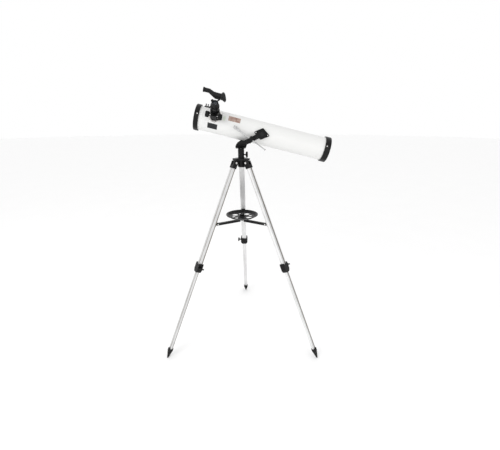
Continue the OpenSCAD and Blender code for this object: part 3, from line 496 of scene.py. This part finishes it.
def wing_knob(name, place, shank, span, thick, node):
    """
    A moulded wing knob on a plain shank; Z points out from the shank's end, and the wings spread along Y.
    The knob's body has the name of the node that it replaces.
    """
    shank_r = 0.003
    hub_low, hub_top = shank - 0.0015, shank + thick
    bm = bmesh.new()
    lathe(bm, [(0, hub_low), (thick * 0.72, hub_low), (thick * 0.8, shank),
               (thick * 0.8, shank + thick * 0.8), (thick * 0.62, hub_top), (0, hub_top)], place, 32)
    for side in (-1, 1):
        ball(bm, place, (0, side * (span / 2 - thick * 0.55), shank + thick * 0.52),
             (thick * 0.46, thick * 0.56, thick * 0.5))
        ball(bm, place, (0, side * span * 0.24, shank + thick * 0.5),
             (thick * 0.3, span * 0.26, thick * 0.4))
    lathe(bm, [(0, 0), (shank_r - 0.0004, 0), (shank_r, 0.0004), (shank_r, shank), (0, shank)], place, 32)
    obj = add_piece(name, bm, node, "knob_black", node)
    remesh = obj.modifiers.new("merge", "REMESH")
    remesh.mode = "VOXEL"
    remesh.voxel_size = 0.0006
    remesh.use_smooth_shade = True
    smooth = obj.modifiers.new("soften", "SMOOTH")
    smooth.factor = 0.5
    smooth.iterations = 3


# Where the screws' inner ends are, and the turns that point a knob's Z outwards
CLAMP_SCREW_END = (0, 0.0118, -0.5547)
AZIMUTH_SCREW_END = (0.0073, 0, 1.0775)
QUARTER = math.pi / 2
Z_TO_Y = Matrix.Rotation(-QUARTER, 4, "X") @ Matrix.Rotation(QUARTER, 4, "Z")
Z_TO_X = Matrix.Rotation(QUARTER, 4, "Y") @ Matrix.Rotation(QUARTER, 4, "Z")

coil_springs()
for i in range(LEG_COUNT):
    rubber_foot(i)
    wing_knob(f"clamp_wing_{i + 1}", leg(i) @ Matrix.Translation(CLAMP_SCREW_END) @ Z_TO_Y,
              shank=0.019, span=0.032, thick=0.009, node=f"clamp_screw_{i + 1}")
wing_knob("azimuth_wing", Matrix.Translation(AZIMUTH_SCREW_END) @ Z_TO_X,
          shank=0.017, span=0.031, thick=0.010, node="azimuth_knob")


# ------------------------------------------------------------------ studio
def floor():
    """A wide, pale round floor."""
    segments = 96
    bm = bmesh.new()
    rings = [[bm.verts.new(p) for p in circle(r, 0, segments)] for r in (0, 1.5, 4, 10, 25)]
    for a, b in zip(rings, rings[1:]):
        for k in range(segments):
            n = (k + 1) % segments
            bm.faces.new((a[0], b[k], b[n]) if len(a) == 1 else (a[k], b[k], b[n], a[n]))
    for f in bm.faces:
        f.smooth = True
    me = bpy.data.meshes.new("floor")
    bm.to_mesh(me)
    bm.free()
    obj = bpy.data.objects.new("floor", me)
    scene.collection.objects.link(obj)
    m = Nodes("floor_paper")
    m.colour(m.ramp(m.noise(3, 3), [(0.3, grey(0.985)), (0.7, grey(0.995))]))
    m.roughness(m.spread(m.noise(20, 3), 0.75, 0.85))
    m.set(Specular_IOR_Level=0.15)
    dress(obj, m.mat)


def area_light(name, place, size, power):
    """A square soft light, in watts, that points at the telescope."""
    aim = Vector((0, 0, 0.9))
    data = bpy.data.lights.new(name, "AREA")
    data.shape = "SQUARE"
    data.size = size
    data.energy = power
    obj = bpy.data.objects.new(name, data)
    obj.location = place
    obj.rotation_euler = (aim - Vector(place)).to_track_quat("-Z", "Y").to_euler()
    scene.collection.objects.link(obj)


floor()
area_light("key", (-2.0, -2.8, 2.4), 1.8, 34)
area_light("fill", (1.4, -3.2, 1.3), 2.0, 10)

# A white world, dimmer towards +X so that the tube and the legs have a shaded side
world = bpy.data.worlds.new("studio")
scene.world = world
world.use_nodes = True
tree = world.node_tree
backdrop = tree.nodes["Background"]
direction = tree.nodes.new("ShaderNodeTexCoord")
split = tree.nodes.new("ShaderNodeSeparateXYZ")
dimming = tree.nodes.new("ShaderNodeMapRange")
dimming.interpolation_type = "SMOOTHSTEP"
for key, value in (("From Min", 0.66), ("From Max", 0.95), ("To Min", 1.0), ("To Max", 0.45)):
    dimming.inputs[key].default_value = value
tree.links.new(direction.outputs["Generated"], split.inputs[0])
tree.links.new(split.outputs["X"], dimming.inputs["Value"])
tree.links.new(dimming.outputs["Result"], backdrop.inputs["Strength"])
backdrop.inputs["Color"].default_value = (*grey(1), 1)

camera_data = bpy.data.cameras.new("camera")
camera = bpy.data.objects.new("camera", camera_data)
scene.collection.objects.link(camera)
camera.location = (0.0722, -1.5942, 1.2520)
camera.rotation_euler = (math.radians(69.91), 0, 0)
camera_data.lens = 21.9816
camera_data.shift_x = -0.01058
camera_data.shift_y = 0.0096
camera_data.clip_start = 0.02
camera_data.clip_end = 60
scene.camera = camera
scene.view_settings.view_transform = "Standard"
